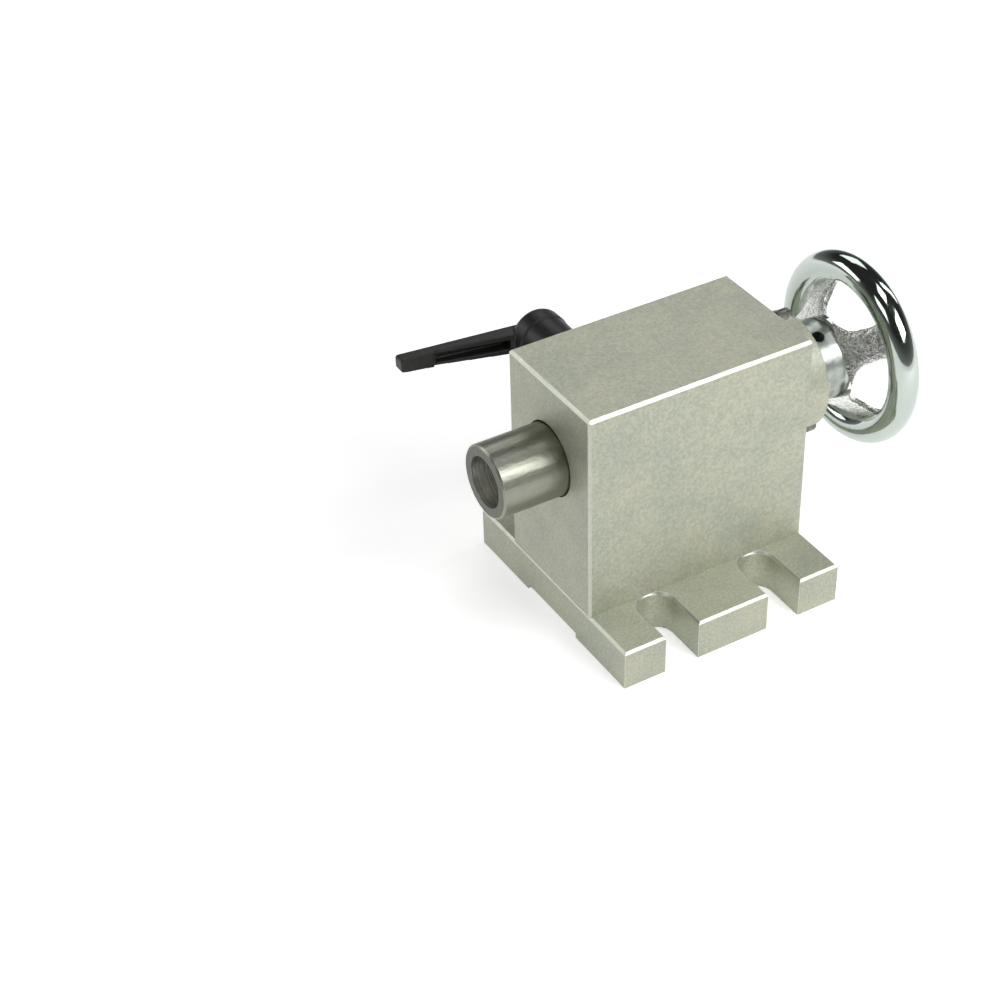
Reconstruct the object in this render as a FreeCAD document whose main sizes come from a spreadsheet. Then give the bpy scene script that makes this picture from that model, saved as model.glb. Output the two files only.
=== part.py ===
import FreeCAD, Part
import math
import os
import Sketcher

# Lathe tailstock with a screw-driven quill, a cast handwheel and a side clamp lever.
# X runs along the quill (nose at -X, handwheel at +X), Y across the base (lever at +Y)
# and Z up. The origin is on the underside of the base, midway along it, below the quill.

doc = FreeCAD.newDocument("lathe_tailstock")

# Driving dimensions in millimetres and degrees: (alias, value, meaning).
DIMENSIONS = [
    ("centre_height", 65.0, "quill axis above the underside of the base"),
    ("base_length", 86.0, "base and block along the quill"),
    ("base_width", 92.0, "base across the quill"),
    ("base_thickness", 15.0, "base plate"),
    ("base_chamfer", 0.8, "broken edges on top of the base"),
    ("slot_width", 13.0, "open bolt slots"),
    ("slot_spacing", 41.0, "distance between the two slots of one side"),
    ("relief_width", 31.0, "shallow channel along the underside"),
    ("relief_depth", 2.0, "depth of that channel"),
    ("block_width", 49.0, "block across the quill"),
    ("block_cover", 28.5, "block above the quill axis"),
    ("block_chamfer", 1.0, "broken edges round the top of the block"),
    ("corner_chamfer", 0.8, "broken upright edges of the block"),
    ("bore_chamfer", 0.5, "broken edge at the mouth of the quill bore"),
    ("running_clearance", 0.05, "radial clearance of shafts and fitted screws"),
    ("running_gap", 0.1, "end float between thrust faces"),
    ("edge_break", 0.5, "small broken edges of turned parts"),
    ("hole_margin", 1.0, "tapped holes beyond the ends of their screws"),
    ("base_screw_thread", 6.0, "screws that hold the block to the base"),
    ("base_screw_grip", 10.0, "their depth in the block"),
    ("base_screw_spacing_x", 64.0, "their distance along the quill"),
    ("base_screw_spacing_y", 17.0, "their distance across the quill"),
    ("counterbore_margin", 0.5, "counterbores beyond the screw heads, all round"),
    ("quill_diameter", 25.4, "sliding quill"),
    ("quill_reach", 24.0, "quill outside the block at rest"),
    ("quill_retract", 6.0, "travel back from rest"),
    ("quill_extend", 22.0, "travel out from rest"),
    ("quill_end_gap", 0.3, "tail of the quill short of the thrust collar when drawn back"),
    ("quill_chamfer", 0.6, "broken outer edges of the quill"),
    ("socket_mouth", 17.78, "taper socket at its mouth"),
    ("socket_ratio", 20.02, "length per unit of diameter of the taper"),
    ("socket_length", 62.0, "depth of the tapered part"),
    ("quill_bore", 14.0, "clearance bore behind the socket"),
    ("keyway_width", 6.0, "groove under the quill"),
    ("keyway_depth", 2.5, "its depth"),
    ("keyway_margin", 1.0, "groove beyond the guide screw at each end of the travel"),
    ("guide_screw_length", 16.0, "dog point screw in the keyway"),
    ("guide_screw_x", -4.0, "its place along the quill"),
    ("dog_length", 3.5, "its plain point"),
    ("nut_diameter", 18.0, "bronze nut in the tail of the quill"),
    ("nut_length", 12.0, "its length"),
    ("nut_screw_thread", 4.0, "set screw that holds the nut"),
    ("nut_screw_seat", 1.0, "depth of its seat in the nut"),
    ("nut_screw_set_in", 0.5, "its outer end below the surface of the quill"),
    ("lead_screw_diameter", 12.0, "left-hand lead screw"),
    ("lead_screw_reach", 45.0, "screw in front of the rear face of the block"),
    ("screw_lead_in", 1.0, "chamfer at its tip"),
    ("collar_diameter", 20.0, "thrust collar on the lead screw"),
    ("collar_length", 3.5, "its length"),
    ("journal_diameter", 10.0, "shaft through the cap and the handwheel"),
    ("washer_thickness", 1.5, "thrust washer behind the collar"),
    ("bush_wall", 2.0, "flanged bush in the cap: wall and flange"),
    ("cap_diameter", 41.4, "round cap on the rear face"),
    ("cap_thickness", 11.5, "its thickness"),
    ("cap_recess", 3.5, "depth of the thrust recess in its front"),
    ("cap_chamfer", 0.5, "broken rear edge of the cap"),
    ("cap_screw_circle", 36.0, "pitch circle of the cap screws"),
    ("cap_screw_thread", 5.0, "cap screws"),
    ("cap_screw_grip", 10.0, "their depth in the block"),
    ("hub_washer_thickness", 0.8, "washer between the cap and the handwheel"),
    ("wheel_diameter", 69.6, "handwheel over its rim"),
    ("rim_section", 10.4, "round section of the rim"),
    ("rim_set_back", 23.0, "rim plane behind the front of the hub"),
    ("hub_diameter", 28.0, "handwheel hub in front of the spokes"),
    ("hub_shoulder", 7.0, "straight length of the hub in front of the spokes"),
    ("hub_flare", 3.4, "length of the cone between that and the spokes"),
    ("hub_length", 14.0, "whole hub"),
    ("hub_rear_diameter", 24.0, "hub behind the spokes"),
    ("hub_chamfer", 0.8, "broken edges of the hub"),
    ("flare_diameter", 29.0, "wide end of that cone"),
    ("web_diameter", 30.0, "solid middle of the spoke web"),
    ("web_thickness", 3.2, "spokes, front to back"),
    ("dish_diameter", 49.0, "where the dished spokes reach the plane of the rim"),
    ("spoke_count", 4, "spokes"),
    ("spoke_root_width", 13.0, "spoke at the hub"),
    ("spoke_rim_width", 9.5, "spoke at the rim"),
    ("spoke_angle", 35.0, "first spoke from the set screw of the hub"),
    ("spoke_root_radius", 2.0, "rounded corners between the spokes and the hub"),
    ("wheel_angle", 20.0, "set screw of the hub from upright, at rest"),
    ("wheel_screw_thread", 4.5, "set screw of the hub"),
    ("wheel_screw_set_back", 5.0, "that screw behind the front of the hub"),
    ("key_width", 3.0, "square key between the shaft and the hub"),
    ("key_length", 10.0, "its length"),
    ("key_set_in", 2.0, "key in front of the end of the shaft"),
    ("shaft_set_in", 0.5, "end of the shaft inside the hub"),
    ("clamp_x", -8.0, "clamp lever along the block"),
    ("clamp_thread", 8.0, "clamp stud"),
    ("clamp_pad_length", 4.5, "brass pad between the stud and the quill"),
    ("clamp_pad_gap", 0.25, "pad to quill with the clamp released"),
    ("clamp_stud_gap", 0.35, "stud off the pad with the clamp released"),
    ("insert_gap", 1.0, "flange of the lever insert off the block"),
    ("insert_flange_diameter", 15.0, "flange of the lever insert"),
    ("insert_flange_length", 2.5, "its length"),
    ("insert_neck_diameter", 11.0, "plain neck of the insert"),
    ("insert_neck_length", 5.2, "its length"),
    ("spline_diameter", 12.8, "serrated head of the insert"),
    ("spline_length", 5.0, "its length"),
    ("spline_depth", 0.9, "depth of the serrations"),
    ("spline_count", 16, "serrations"),
    ("spline_clearance", 0.15, "play of the lever on the serrations"),
    ("spline_overcut", 0.2, "flanks of the serrations beyond their tips"),
    ("tooth_sink", 0.45, "ridges of the lever run into its wall"),
    ("lever_end_gap", 0.5, "web of the lever clear of the insert"),
    ("lever_bore_clearance", 0.6, "lever round its screw and spring, on the radius"),
    ("skirt_gap", 0.3, "lever skirt off the flange of the insert"),
    ("lever_lift", 5.4, "lift that frees the lever from the serrations"),
    ("lever_height", 44.0, "lever hub from the block to its domed end"),
    ("skirt_diameter", 17.0, "lever hub at the block"),
    ("skirt_top_diameter", 19.2, "lever hub below its head"),
    ("head_diameter", 19.8, "domed head of the lever hub"),
    ("head_length", 9.0, "its length"),
    ("dome_radius", 4.2, "rounding of the head"),
    ("groove_depth", 0.4, "ring groove below the head"),
    ("arm_length", 50.0, "lever arm from the hub axis"),
    ("arm_tilt", 10.3, "outward tilt of the arm in degrees"),
    ("arm_set_down", 0.2, "outer line of the arm below the domed end, on the hub axis"),
    ("arm_root_width", 8.7, "arm on the hub axis"),
    ("arm_tip_width", 5.0, "arm at the tip"),
    ("arm_root_thickness", 7.0, "arm on the hub axis, along the clamp axis"),
    ("arm_waist_thickness", 4.2, "walls of the arm where they meet its solid end"),
    ("arm_tip_thickness", 5.2, "solid end of the arm"),
    ("arm_tip_length", 11.8, "its length"),
    ("arm_rounding", 0.9, "rounded edges of the arm"),
    ("arm_wall", 1.1, "walls beside the hollow of the arm"),
    ("arm_skin", 1.5, "skin over the hollow"),
    ("lever_screw_thread", 5.0, "screw that retains the lever"),
    ("lever_screw_head", 9.4, "head of that screw"),
    ("lever_screw_head_length", 4.0, "its height"),
    ("lever_screw_chamfer", 0.4, "broken edge of that head"),
    ("lever_screw_set_in", 1.0, "its tip off the blind end of the insert"),
    ("lever_web", 3.0, "web of the hub that the spring bears on"),
    ("spring_length", 17.5, "spring under the head of the lever screw"),
    ("spring_wire", 1.0, "its wire"),
    ("spring_diameter", 9.2, "outside of the spring"),
    ("spring_turns", 5, "its turns"),
]

# Head diameter and hexagon of a socket head cap screw per unit of thread.
HEAD_RATIO = 1.7
HEX_RATIO = 0.83
WIRE_SIDES = 4
OVERCUT = 1.0
OVERLAP = 1.0
CAP_SCREW_ANGLES = (102.0, -52.0, -154.0)
TOLERANCE = 1e-4

sheet = doc.addObject("Spreadsheet::Sheet", "Sizes")
for row, (alias, value, meaning) in enumerate(DIMENSIONS, start=1):
    sheet.set("A%d" % row, meaning)
    sheet.set("B%d" % row, str(value))
    sheet.setAlias("B%d" % row, alias)

# Places that follow from the dimensions, kept on the sheet as formulas.
DERIVED = [
    ("axis_in_block", "centre_height - base_thickness", "quill axis above the block's underside"),
    ("block_height", "axis_in_block + block_cover", "block above the base plate"),
    ("rear_face", "base_length / 2", "rear face of the block"),
    ("side_face", "block_width / 2", "side of the block"),
    ("nose_x", "-base_length / 2 - quill_reach", "nose of the quill at rest"),
    ("floor_x", "rear_face + cap_recess", "floor of the thrust recess"),
    ("collar_rear", "floor_x - bush_wall - washer_thickness - 2 * running_gap", "back of the collar"),
    ("collar_front", "collar_rear - collar_length", "front of the collar"),
    ("quill_length", "collar_front - quill_retract - quill_end_gap - nose_x", "whole quill"),
    ("cap_rear", "rear_face + cap_thickness", "rear face of the cap"),
    ("hub_front", "cap_rear + hub_washer_thickness + 2 * running_gap", "front of the handwheel"),
    ("shaft_end", "hub_front + hub_length - shaft_set_in", "rear end of the shaft"),
    ("bush_diameter", "journal_diameter + 2 * bush_wall", "body of the bush"),
    ("spline_start", "insert_gap + insert_flange_length + insert_neck_length", "start of the serrations"),
    ("insert_end", "spline_start + spline_length", "end of the insert"),
    ("web_start", "insert_end + lever_end_gap", "web inside the lever hub"),
    ("spring_start", "web_start + lever_web", "seat of the spring"),
    ("head_start", "lever_height - head_length", "start of the lever's head"),
]
for row, (alias, formula, meaning) in enumerate(DERIVED, start=len(DIMENSIONS) + 1):
    sheet.set("A%d" % row, meaning)
    sheet.set("B%d" % row, "=" + formula)
    sheet.setAlias("B%d" % row, alias)
doc.recompute()


def bind(formula):
    """Write every sheet alias in a formula with the name of the sheet before it."""
    words = []
    word = ""
    for letter in formula + " ":
        if letter.isalnum() or letter == "_":
            word += letter
            continue
        words.append("Sizes." + word if word in ALIASES else word)
        words.append(letter)
        word = ""
    return "".join(words).strip()


ALIASES = {alias for alias, _, _ in DIMENSIONS + DERIVED}


def size(formula):
    """Value of a formula of sheet aliases."""
    return float(sheet.evalExpression(bind(formula)))


def new_body(name, x="0", y="0", z="0", turn=None):
    """A PartDesign body whose place, and turn about the quill axis, follow the sheet."""
    body = doc.addObject("PartDesign::Body", name)
    body.Label = name
    if turn is not None:
        along_x = FreeCAD.Rotation(FreeCAD.Vector(1, 0, 0), size(turn))
        body.Placement = FreeCAD.Placement(FreeCAD.Vector(), along_x)
        body.setExpression("Placement.Rotation.Angle", bind(turn))
    for letter, formula in (("x", x), ("y", y), ("z", z)):
        body.setExpression("Placement.Base." + letter, bind(formula))
    return body


def new_sketch(body, name, plane, offset="0"):
    """An empty sketch on an origin plane of its body, moved along the plane's normal."""
    sketch = body.newObject("Sketcher::SketchObject", name)
    support = next(f for f in body.Origin.OriginFeatures if f.Role == plane + "_Plane")
    sketch.AttachmentSupport = [(support, "")]
    sketch.MapMode = "FlatFace"
    sketch.setExpression("AttachmentOffset.Base.z", bind(offset))
    return sketch


def hold(sketch, kind, geometry, point, formula, tag):
    """Constrain one coordinate of a point, or a radius, to a formula."""
    value = size(formula)
    if kind == "Radius":
        index = sketch.addConstraint(Sketcher.Constraint(kind, geometry, value))
    else:
        index = sketch.addConstraint(Sketcher.Constraint(kind, -1, 1, geometry, point, value))
    sketch.renameConstraint(index, tag)
    sketch.setExpression("Constraints." + tag, bind(formula))


def circle(sketch, x, y, radius):
    """A circle held by its centre and radius."""
    centre = FreeCAD.Vector(size(x), size(y), 0)
    index = sketch.addGeometry(Part.Circle(centre, FreeCAD.Vector(0, 0, 1), size(radius)), False)
    hold(sketch, "DistanceX", index, 3, x, "cx%d" % index)
    hold(sketch, "DistanceY", index, 3, y, "cy%d" % index)
    hold(sketch, "Radius", index, 0, radius, "r%d" % index)


def outline(sketch, corners):
    """A closed outline through (x, y) corners.

    A corner given as (x, y, centre x, centre y, turn) is reached by an arc about that
    centre, anticlockwise where turn is 1 and clockwise where it is -1.
    """
    points = [FreeCAD.Vector(size(c[0]), size(c[1]), 0) for c in corners]
    first = sketch.GeometryCount
    ends = []
    for i, corner in enumerate(corners):
        start, end = points[i - 1], points[i]
        if len(corner) == 2:
            index = sketch.addGeometry(Part.LineSegment(start, end), False)
            ends.append((index, 1, 2))
            continue
        centre = FreeCAD.Vector(size(corner[2]), size(corner[3]), 0)
        arm_a, arm_b = start - centre, end - centre
        angles = [math.atan2(arm_a.y, arm_a.x), math.atan2(arm_b.y, arm_b.x)]
        if corner[4] < 0:
            angles.reverse()
        if angles[1] <= angles[0]:
            angles[1] += 2 * math.pi
        ring = Part.Circle(centre, FreeCAD.Vector(0, 0, 1), arm_a.Length)
        index = sketch.addGeometry(Part.ArcOfCircle(ring, angles[0], angles[1]), False)
        ends.append((index, 1, 2) if corner[4] > 0 else (index, 2, 1))
    for i, (index, begin, finish) in enumerate(ends):
        following = ends[(i + 1) % len(ends)]
        sketch.addConstraint(Sketcher.Constraint("Coincident", index, finish, following[0], following[1]))
        hold(sketch, "DistanceX", index, finish, corners[i][0], "x%d" % (first + i))
        hold(sketch, "DistanceY", index, finish, corners[i][1], "y%d" % (first + i))
        if len(corners[i]) > 2:
            chord = points[i] - points[i - 1]
            upright = abs(chord.x) < abs(chord.y)
            kind = "DistanceX" if upright else "DistanceY"
            centre_formula = corners[i][2] if upright else corners[i][3]
            hold(sketch, kind, index, 3, centre_formula, "c%d" % (first + i))


def rectangle(sketch, x_low, x_high, y_low, y_high):
    outline(sketch, [(x_low, y_low), (x_high, y_low), (x_high, y_high), (x_low, y_high)])


def hexagon(sketch, x, y, flats):
    """A regular hexagon with two corners on the horizontal."""
    radius = "(%s) / sqrt(3)" % flats
    corners = []
    for angle in range(0, 360, 60):
        across, up = "%s * cos(%d)" % (radius, angle), "%s * sin(%d)" % (radius, angle)
        corners.append(("%s + %s" % (x, across), "%s + %s" % (y, up)))
    outline(sketch, corners)


def volume_of(feature):
    return 0.0 if feature is None or feature.Shape.isNull() else feature.Shape.Volume


def add_feature(body, kind, name, sketch, formulas, grows, **settings):
    """Add a feature, bind its sizes and check that it adds or removes material as meant."""
    before = volume_of(body.Tip)
    feature = body.newObject("PartDesign::" + kind, name)
    feature.Profile = sketch
    for prop, value in settings.items():
        setattr(feature, prop, value)
    for prop, formula in formulas.items():
        feature.setExpression(prop, bind(formula))
    doc.recompute()
    change = feature.Shape.Volume - before
    if (change <= TOLERANCE) if grows else (change >= -TOLERANCE):
        raise RuntimeError("%s of %s changes the volume by %.4f" % (name, body.Label, change))
    return feature


def pad(body, name, sketch, length, **settings):
    return add_feature(body, "Pad", name, sketch, {"Length": length}, True, **settings)


def pocket(body, name, sketch, length, **settings):
    return add_feature(body, "Pocket", name, sketch, {"Length": length}, False, **settings)


def revolve(body, name, sketch, axis="H_Axis"):
    settings = {"ReferenceAxis": (sketch, [axis]), "Angle": 360.0}
    return add_feature(body, "Revolution", name, sketch, {}, True, **settings)


def groove(body, name, sketch, axis="H_Axis"):
    settings = {"ReferenceAxis": (sketch, [axis]), "Angle": 360.0}
    return add_feature(body, "Groove", name, sketch, {}, False, **settings)


def repeat_round(body, name, feature, axis, count):
    """Repeat a feature round an origin axis of its body."""
    before = volume_of(body.Tip)
    pattern = body.newObject("PartDesign::PolarPattern", name)
    pattern.Originals = [feature]
    support = next(f for f in body.Origin.OriginFeatures if f.Role == axis + "_Axis")
    pattern.Axis = (support, [""])
    pattern.Angle = 360.0
    pattern.setExpression("Occurrences", bind(count))
    body.Tip = pattern
    doc.recompute()
    if abs(pattern.Shape.Volume - before) < TOLERANCE:
        raise RuntimeError("%s of %s changes nothing" % (name, body.Label))
    return pattern


def edges_where(feature, test, straight):
    """Names of the edges of a feature whose every vertex and middle pass a test."""
    names = []
    for number, edge in enumerate(feature.Shape.Edges, start=1):
        if straight and edge.Curve.TypeId != "Part::GeomLine":
            continue
        middle = edge.valueAt((edge.FirstParameter + edge.LastParameter) / 2)
        if all(test(p) for p in [v.Point for v in edge.Vertexes] + [middle]):
            names.append("Edge%d" % number)
    return names


def dress(body, kind, name, test, formula, straight=False):
    """Chamfer or fillet the edges of the body's tip that pass a test."""
    base = body.Tip
    names = edges_where(base, test, straight)
    if not names:
        raise RuntimeError("%s of %s finds no edge" % (name, body.Label))
    feature = body.newObject("PartDesign::" + kind, name)
    feature.Base = (base, names)
    feature.setExpression("Size" if kind == "Chamfer" else "Radius", bind(formula))
    doc.recompute()
    return feature


def near(value, formula):
    return abs(value - size(formula)) < 1e-3


def cylinder(name, radius, height, place=None):
    """A Part cylinder bound to the sheet, hidden inside a boolean unless it is a sub-part."""
    solid = doc.addObject("Part::Cylinder", name)
    solid.setExpression("Radius", bind(radius))
    solid.setExpression("Height", bind(height))
    if place is not None:
        solid.Placement = place
    return solid


def cut(name, base, tool):
    result = doc.addObject("Part::Cut", name)
    result.Label = name
    result.Base = base
    result.Tool = tool
    return result


SIGNS = (-1, 1)
SUBPARTS = []


def keep(subpart):
    """Register a sub-part that is written to a file of its own."""
    SUBPARTS.append(subpart)
    return subpart


def slot_centres():
    return [("%d * slot_spacing / 2" % sx, sy) for sx in SIGNS for sy in SIGNS]


def base_screw_centres():
    return [
        ("%d * base_screw_spacing_x / 2" % sx, "%d * base_screw_spacing_y / 2" % sy)
        for sx in SIGNS
        for sy in SIGNS
    ]


def cap_screw_centres():
    """Centres on a sketch of the YZ plane, whose x runs along Y and y along Z."""
    return [
        ("-cap_screw_circle / 2 * cos(%s)" % angle, "cap_screw_circle / 2 * sin(%s)" % angle)
        for angle in CAP_SCREW_ANGLES
    ]


BASE_SCREW_HEAD = "%s * base_screw_thread" % HEAD_RATIO
BASE_SCREW_SEAT = "(relief_depth + base_screw_thread + counterbore_margin)"
CAP_SCREW_HEAD = "%s * cap_screw_thread" % HEAD_RATIO
CAP_SCREW_SEAT = "(cap_thickness - cap_screw_thread - counterbore_margin)"


# The base plate: two flanges with open bolt slots and a relief channel underneath.
def make_base_plate():
    body = new_body("base_plate")
    plate = new_sketch(body, "plate_outline", "XY")
    rectangle(plate, "-base_length / 2", "base_length / 2", "-base_width / 2", "base_width / 2")
    pad(body, "plate", plate, "base_thickness")

    slots = new_sketch(body, "slot_outlines", "XY", "base_thickness")
    for x, side in slot_centres():
        middle = "%d * (side_face + slot_width / 2)" % side
        outside = "%d * (base_width / 2 + %s)" % (side, OVERCUT)
        low, high = "%s - slot_width / 2" % x, "%s + slot_width / 2" % x
        outline(slots, [(low, outside), (high, outside), (high, middle), (low, middle, x, middle, -side)])
    pocket(body, "slots", slots, "base_thickness")

    channel = new_sketch(body, "channel_outline", "XY")
    rectangle(channel, "-base_length / 2", "base_length / 2", "-relief_width / 2", "relief_width / 2")
    pocket(body, "channel", channel, "relief_depth", Reversed=True)

    holes = new_sketch(body, "screw_holes", "XY")
    for x, y in base_screw_centres():
        circle(holes, x, y, "base_screw_thread / 2 + running_clearance")
    pocket(body, "holes", holes, "base_thickness", Reversed=True)
    counterbores = new_sketch(body, "counterbore_outlines", "XY")
    for x, y in base_screw_centres():
        circle(counterbores, x, y, BASE_SCREW_HEAD + " / 2 + counterbore_margin")
    pocket(body, "counterbores", counterbores, BASE_SCREW_SEAT, Reversed=True)

    def on_top_outline(point):
        inside_x = abs(point.x) < size("base_screw_spacing_x / 2 + base_screw_thread")
        inside_y = abs(point.y) < size("base_screw_spacing_y / 2 + base_screw_thread")
        return near(point.z, "base_thickness") and not (inside_x and inside_y)

    dress(body, "Chamfer", "broken_edges", on_top_outline, "base_chamfer")
    return keep(body)


def make_base_screws():
    """Four socket head screws from below, hexagons open downwards."""
    body = new_body("base_screws")
    shanks = new_sketch(body, "shank_outlines", "XY", BASE_SCREW_SEAT)
    for x, y in base_screw_centres():
        circle(shanks, x, y, "base_screw_thread / 2")
    pad(body, "shanks", shanks, "base_thickness - %s + base_screw_grip" % BASE_SCREW_SEAT)
    heads = new_sketch(body, "head_outlines", "XY", BASE_SCREW_SEAT)
    for x, y in base_screw_centres():
        circle(heads, x, y, BASE_SCREW_HEAD + " / 2")
    pad(body, "heads", heads, "base_screw_thread", Reversed=True)
    sockets = new_sketch(body, "socket_outlines", "XY", BASE_SCREW_SEAT + " - base_screw_thread")
    for x, y in base_screw_centres():
        hexagon(sockets, x, y, "%s * base_screw_thread" % HEX_RATIO)
    pocket(body, "sockets", sockets, "base_screw_thread / 2", Reversed=True)
    return keep(body)


# The block: quill bore, tapped holes for the cap, the base, the guide screw and the clamp.
def make_body_block():
    body = new_body("body_block", z="base_thickness")
    footprint = new_sketch(body, "footprint", "XY")
    rectangle(footprint, "-base_length / 2", "base_length / 2", "-block_width / 2", "block_width / 2")
    pad(body, "block", footprint, "block_height")

    bore = new_sketch(body, "bore_outline", "YZ", "rear_face")
    circle(bore, "0", "axis_in_block", "quill_diameter / 2 + running_clearance")
    pocket(body, "quill_bore", bore, "base_length")

    cap_holes = new_sketch(body, "cap_hole_outlines", "YZ", "rear_face")
    for y, z in cap_screw_centres():
        circle(cap_holes, y, z + " + axis_in_block", "cap_screw_thread / 2 + running_clearance")
    pocket(body, "cap_holes", cap_holes, "cap_screw_grip + hole_margin")

    base_holes = new_sketch(body, "base_hole_outlines", "XY")
    for x, y in base_screw_centres():
        circle(base_holes, x, y, "base_screw_thread / 2 + running_clearance")
    pocket(body, "base_holes", base_holes, "base_screw_grip + hole_margin", Reversed=True)

    guide_hole = new_sketch(body, "guide_hole_outline", "XY")
    circle(guide_hole, "guide_screw_x", "0", "base_screw_thread / 2 + running_clearance")
    pocket(body, "guide_hole", guide_hole, "axis_in_block", Reversed=True)

    clamp_hole = new_sketch(body, "clamp_hole_outline", "XZ")
    circle(clamp_hole, "clamp_x", "axis_in_block", "clamp_thread / 2 + running_clearance")
    pocket(body, "clamp_hole", clamp_hole, "side_face")

    dress(body, "Chamfer", "broken_top", lambda p: near(p.z, "block_height"), "block_chamfer")

    def on_corner(point):
        return near(abs(point.x), "rear_face") and near(abs(point.y), "side_face")

    dress(body, "Chamfer", "broken_corners", on_corner, "corner_chamfer")

    def on_mouth(point):
        radius = math.hypot(point.y, point.z - size("axis_in_block"))
        return near(point.x, "-rear_face") and near(radius, "quill_diameter / 2 + running_clearance")

    dress(body, "Chamfer", "broken_mouth", on_mouth, "bore_chamfer")
    return keep(body)


def make_guide_screw():
    """Dog point set screw from below whose point runs in the keyway of the quill."""
    point = "centre_height - quill_diameter / 2 + keyway_depth / 2"
    body = new_body("guide_screw", x="guide_screw_x", z=point)
    profile = new_sketch(body, "profile", "XZ")
    radius, dog = "base_screw_thread / 2", "keyway_width / 2 - 2 * running_clearance"
    outline(
        profile,
        [
            ("0", "0"),
            ("0", "-guide_screw_length"),
            (radius, "-guide_screw_length"),
            (radius, "-dog_length"),
            (dog, "-dog_length"),
            (dog, "0"),
        ],
    )
    revolve(body, "screw", profile, "V_Axis")
    socket = new_sketch(body, "socket_outline", "XY", "-guide_screw_length")
    hexagon(socket, "0", "0", "base_screw_thread / 2")
    pocket(body, "socket", socket, "base_screw_thread / 2", Reversed=True)
    return keep(body)


# The rear cap, its screws and the thrust parts of the lead screw.
def make_rear_cap():
    body = new_body("rear_cap", x="rear_face", z="centre_height")
    profile = new_sketch(body, "profile", "XZ")
    outline(
        profile,
        [
            ("0", "collar_diameter / 2 + counterbore_margin"),
            ("0", "cap_diameter / 2"),
            ("cap_thickness - cap_chamfer", "cap_diameter / 2"),
            ("cap_thickness", "cap_diameter / 2 - cap_chamfer"),
            ("cap_thickness", "bush_diameter / 2"),
            ("cap_recess", "bush_diameter / 2"),
            ("cap_recess", "collar_diameter / 2 + counterbore_margin"),
        ],
    )
    revolve(body, "disc", profile)
    holes = new_sketch(body, "hole_outlines", "YZ", "cap_thickness")
    for y, z in cap_screw_centres():
        circle(holes, y, z, "cap_screw_thread / 2 + running_clearance")
    pocket(body, "holes", holes, "cap_thickness")
    counterbores = new_sketch(body, "counterbore_outlines", "YZ", "cap_thickness")
    for y, z in cap_screw_centres():
        circle(counterbores, y, z, CAP_SCREW_HEAD + " / 2 + counterbore_margin")
    pocket(body, "counterbores", counterbores, "cap_thickness - " + CAP_SCREW_SEAT)
    return keep(body)


def make_cap_screws():
    body = new_body("cap_screws", x="rear_face", z="centre_height")
    shanks = new_sketch(body, "shank_outlines", "YZ", CAP_SCREW_SEAT)
    for y, z in cap_screw_centres():
        circle(shanks, y, z, "cap_screw_thread / 2")
    pad(body, "shanks", shanks, CAP_SCREW_SEAT + " + cap_screw_grip", Reversed=True)
    heads = new_sketch(body, "head_outlines", "YZ", CAP_SCREW_SEAT)
    for y, z in cap_screw_centres():
        circle(heads, y, z, CAP_SCREW_HEAD + " / 2")
    pad(body, "heads", heads, "cap_screw_thread")
    sockets = new_sketch(body, "socket_outlines", "YZ", CAP_SCREW_SEAT + " + cap_screw_thread")
    for y, z in cap_screw_centres():
        hexagon(sockets, y, z, "%s * cap_screw_thread" % HEX_RATIO)
    pocket(body, "sockets", sockets, "cap_screw_thread / 2")
    return keep(body)


def make_screw_bushing():
    """Flanged bush of the shaft, its flange on the floor of the thrust recess."""
    body = new_body("screw_bushing", x="floor_x", z="centre_height")
    profile = new_sketch(body, "profile", "XZ")
    bore = "journal_diameter / 2 + running_clearance"
    outline(
        profile,
        [
            ("-bush_wall", bore),
            ("-bush_wall", "collar_diameter / 2"),
            ("0", "collar_diameter / 2"),
            ("0", "bush_diameter / 2"),
            ("cap_rear - floor_x", "bush_diameter / 2"),
            ("cap_rear - floor_x", bore),
        ],
    )
    revolve(body, "bush", profile)
    return keep(body)


def make_washer(name, x, thickness, diameter):
    """A plain washer on the shaft."""
    along_x = FreeCAD.Placement(FreeCAD.Vector(), FreeCAD.Rotation(FreeCAD.Vector(0, 1, 0), 90))
    disc = cylinder(name + "_disc", diameter + " / 2", thickness, along_x)
    hole = cylinder(name + "_hole", "journal_diameter / 2 + running_clearance", thickness, along_x)
    washer = cut(name, disc, hole)
    washer.setExpression("Placement.Base.x", bind(x))
    washer.setExpression("Placement.Base.z", bind("centre_height"))
    return keep(washer)


def make_lead_screw():
    """Left-hand screw, thrust collar and plain shaft to the back of the handwheel."""
    body = new_body("lead_screw", z="centre_height")
    tip, radius = "rear_face - lead_screw_reach", "lead_screw_diameter / 2"
    journal = "journal_diameter / 2"
    profile = new_sketch(body, "profile", "XZ")
    outline(
        profile,
        [
            (tip, "0"),
            (tip, radius + " - screw_lead_in"),
            (tip + " + screw_lead_in", radius),
            ("collar_front", radius),
            ("collar_front", "collar_diameter / 2"),
            ("collar_rear", "collar_diameter / 2"),
            ("collar_rear", journal),
            ("shaft_end - edge_break", journal),
            ("shaft_end", journal + " - edge_break"),
            ("shaft_end", "0"),
        ],
    )
    revolve(body, "shaft", profile)
    seat = new_sketch(body, "key_seat_outline", "XY", "-" + journal)
    front, back = "shaft_end - key_set_in - key_length", "shaft_end - key_set_in"
    rectangle(seat, front, back, "-key_width / 2", "key_width / 2")
    pocket(body, "key_seat", seat, "key_width / 2", Reversed=True)
    return keep(body)


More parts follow.
